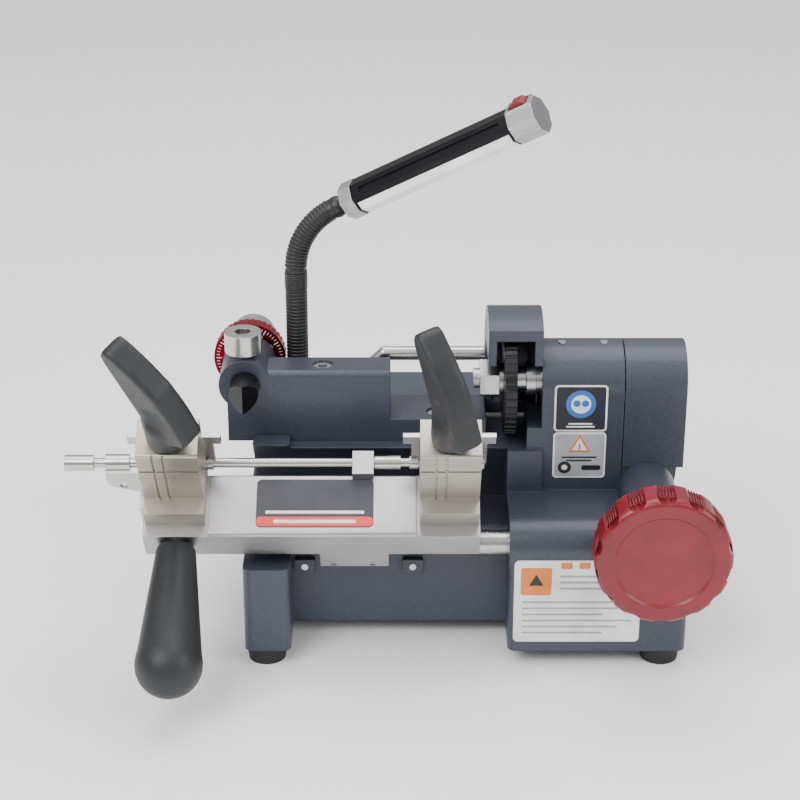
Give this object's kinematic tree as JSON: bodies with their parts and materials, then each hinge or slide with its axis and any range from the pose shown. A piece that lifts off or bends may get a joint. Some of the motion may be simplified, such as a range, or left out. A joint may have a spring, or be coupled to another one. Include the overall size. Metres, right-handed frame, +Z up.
{
  "type": "key duplicating machine",
  "caption": "Bench key cutting machine with cutter wheel, tracer, tilting two-vise carriage, feed wheel and work lamp",
  "frame": {"origin": "centre of the overall box at floor level, under the feet", "axes": "+X runs right along the spindle, +Y runs to the back, +Z is up"},
  "size_m": [0.401, 0.265, 0.3471],
  "materials": {
    "casting_paint": "hammertone",
    "arm_paint": "hammertone",
    "cover_paint": "hammertone",
    "steel": "machined",
    "black_oxide": "black oxide",
    "bright": "polished",
    "plate_metal": "satin",
    "vise_left": "nickel plated",
    "vise_right": "nickel plated",
    "black_rubber": "matt",
    "knob_plastic": "matt moulded",
    "red_plastic": "moulded",
    "dial_red": "anodised",
    "grey_cap": "matt",
    "black_plastic": "moulded",
    "neck_black": "ribbed",
    "lamp_black": "anodised",
    "silver_cap": "satin",
    "diffuser": "frosted",
    "label_dark": "printed",
    "copper_motor": "satin"
  },
  "bodies": {
    "base": {"arm_screw_left": "steel", "arm_screw_right": "steel", "base_casting": "casting_paint", "belt_cover": "cover_paint", "bottom_cover": "steel", "carry_bar": "bright", "cutter_guard": "casting_paint", "drive_belt": "black_rubber", "foot_front_left": "black_rubber", "foot_front_right": "black_rubber", "foot_rear_left": "black_rubber", "foot_rear_right": "black_rubber", "foot_screw_front_left": "steel", "foot_screw_front_right": "steel", "foot_screw_rear_left": "steel", "foot_screw_rear_right": "steel", "gooseneck_lower": "neck_black", "motor_body": "copper_motor", "power_bezel": "black_plastic", "power_inlet": "black_plastic", "shaft_bush": "steel", "spindle_bearing_front": "steel", "spindle_bearing_rear": "steel", "tracer_arm": "arm_paint", "tracer_lock_screw": "bright"},
    "spindle": {"spindle_shaft": "steel", "cutter_wheel": "black_oxide", "cutter_nut": "steel", "spindle_pulley": "steel"},
    "motor_rotor": {"motor_shaft": "steel", "motor_pulley": "steel"},
    "shaft_slide": {"carriage_shaft": "steel"},
    "carriage": {"carriage_plate": "plate_metal", "plate_label": "label_dark", "lower_jaw_left": "vise_left", "lower_jaw_right": "vise_right", "clamp_stud_left": "steel", "clamp_stud_right": "steel", "handle_grip": "knob_plastic", "handle_stud": "steel", "gauge_bracket": "bright"},
    "jaw_left": {"upper_jaw_left": "vise_left"},
    "jaw_right": {"upper_jaw_right": "vise_right"},
    "knob_left": {"wing_knob_left": "knob_plastic"},
    "knob_right": {"wing_knob_right": "knob_plastic"},
    "gauge": {"gauge_forks": "bright", "gauge_collar": "bright"},
    "feed_wheel": {"hand_wheel": "red_plastic", "wheel_shaft": "steel", "wheel_pinion": "steel"},
    "tracer": {"tracer_pin": "black_oxide"},
    "dial": {"dial_ring": "dial_red", "dial_cap": "grey_cap"},
    "lamp": {"gooseneck_upper": "neck_black", "lamp_cap_left": "silver_cap", "lamp_body": "lamp_black", "lamp_diffuser": "diffuser", "lamp_cap_right": "silver_cap"},
    "lamp_switch": {"lamp_rocker": "red_plastic"},
    "power_switch": {"power_rocker": "red_plastic"}
  },
  "joints": [
    {"name": "spindle_turn", "type": "hinge", "parent": "base", "child": "spindle", "pos_m": [0.07296, 0.03451, 0.1618], "axis": [1, 0, 0], "continuous": true},
    {"name": "motor_turn", "type": "hinge", "parent": "base", "child": "motor_rotor", "pos_m": [0.15456, 0.08251, 0.059], "axis": [1, 0, 0], "continuous": true},
    {"name": "wheel_turn", "type": "hinge", "parent": "base", "child": "feed_wheel", "pos_m": [0.15956, -0.06749, 0.097], "axis": [0, 1, 0], "range_deg": [-8, 60]},
    {"name": "shaft_feed", "type": "slide", "parent": "base", "child": "shaft_slide", "axis": [1, 0, 0], "range_m": [-0.0017, 0.01277]},
    {"name": "carriage_tilt", "type": "hinge", "parent": "shaft_slide", "child": "carriage", "pos_m": [0.00456, -0.02749, 0.0783], "axis": [-1, 0, 0], "range_deg": [0, 26]},
    {"name": "knob_left_turn", "type": "hinge", "parent": "jaw_left", "child": "knob_left", "pos_m": [-0.13094, -0.06887, 0.1714], "axis": [0, -0.5736, 0.8192], "range_deg": [0, 720]},
    {"name": "jaw_left_lift", "type": "slide", "parent": "carriage", "child": "jaw_left", "axis": [0, -0.5736, 0.8192], "range_m": [0, 0.0035]},
    {"name": "knob_right_turn", "type": "hinge", "parent": "jaw_right", "child": "knob_right", "pos_m": [0.03436, -0.06887, 0.1714], "axis": [0, -0.5736, 0.8192], "range_deg": [0, 720]},
    {"name": "jaw_right_lift", "type": "slide", "parent": "carriage", "child": "jaw_right", "axis": [0, -0.5736, 0.8192], "range_m": [0, 0.0035]},
    {"name": "gauge_swing", "type": "hinge", "parent": "carriage", "child": "gauge", "pos_m": [-0.05544, -0.01668, 0.12737], "axis": [1, 0, 0], "range_deg": [-30, 0]},
    {"name": "dial_turn", "type": "hinge", "parent": "base", "child": "dial", "pos_m": [-0.09204, 0.08251, 0.1618], "axis": [0, 1, 0], "range_deg": [-360, 360]},
    {"name": "tracer_set", "type": "slide", "parent": "base", "child": "tracer", "axis": [0, 1, 0], "range_m": [-0.001, 0.001]},
    {"name": "lamp_bend", "type": "hinge", "parent": "base", "child": "lamp", "pos_m": [-0.06144, 0.07251, 0.216], "axis": [0, 1, 0], "range_deg": [-10, 12]},
    {"name": "lamp_switch_rock", "type": "hinge", "parent": "lamp", "child": "lamp_switch", "pos_m": [0.07557, 0.02487, 0.33901], "axis": [0.2435, 0.9413, 0.234], "range_deg": [-8, 8]},
    {"name": "power_switch_rock", "type": "hinge", "parent": "base", "child": "power_switch", "pos_m": [-0.09014, 0.06951, 0.052], "axis": [0, 1, 0], "range_deg": [-8, 8]}
  ],
  "couplings": [
    {"joint": "motor_turn", "follows": "spindle_turn", "ratio": 1.2667},
    {"joint": "wheel_turn", "follows": "shaft_feed", "rad_per_m": 81.967},
    {"joint": "knob_left_turn", "follows": "jaw_left_lift", "rad_per_m": 3590.7},
    {"joint": "knob_right_turn", "follows": "jaw_right_lift", "rad_per_m": 3590.7},
    {"joint": "dial_turn", "follows": "tracer_set", "rad_per_m": 6283.4}
  ]
}
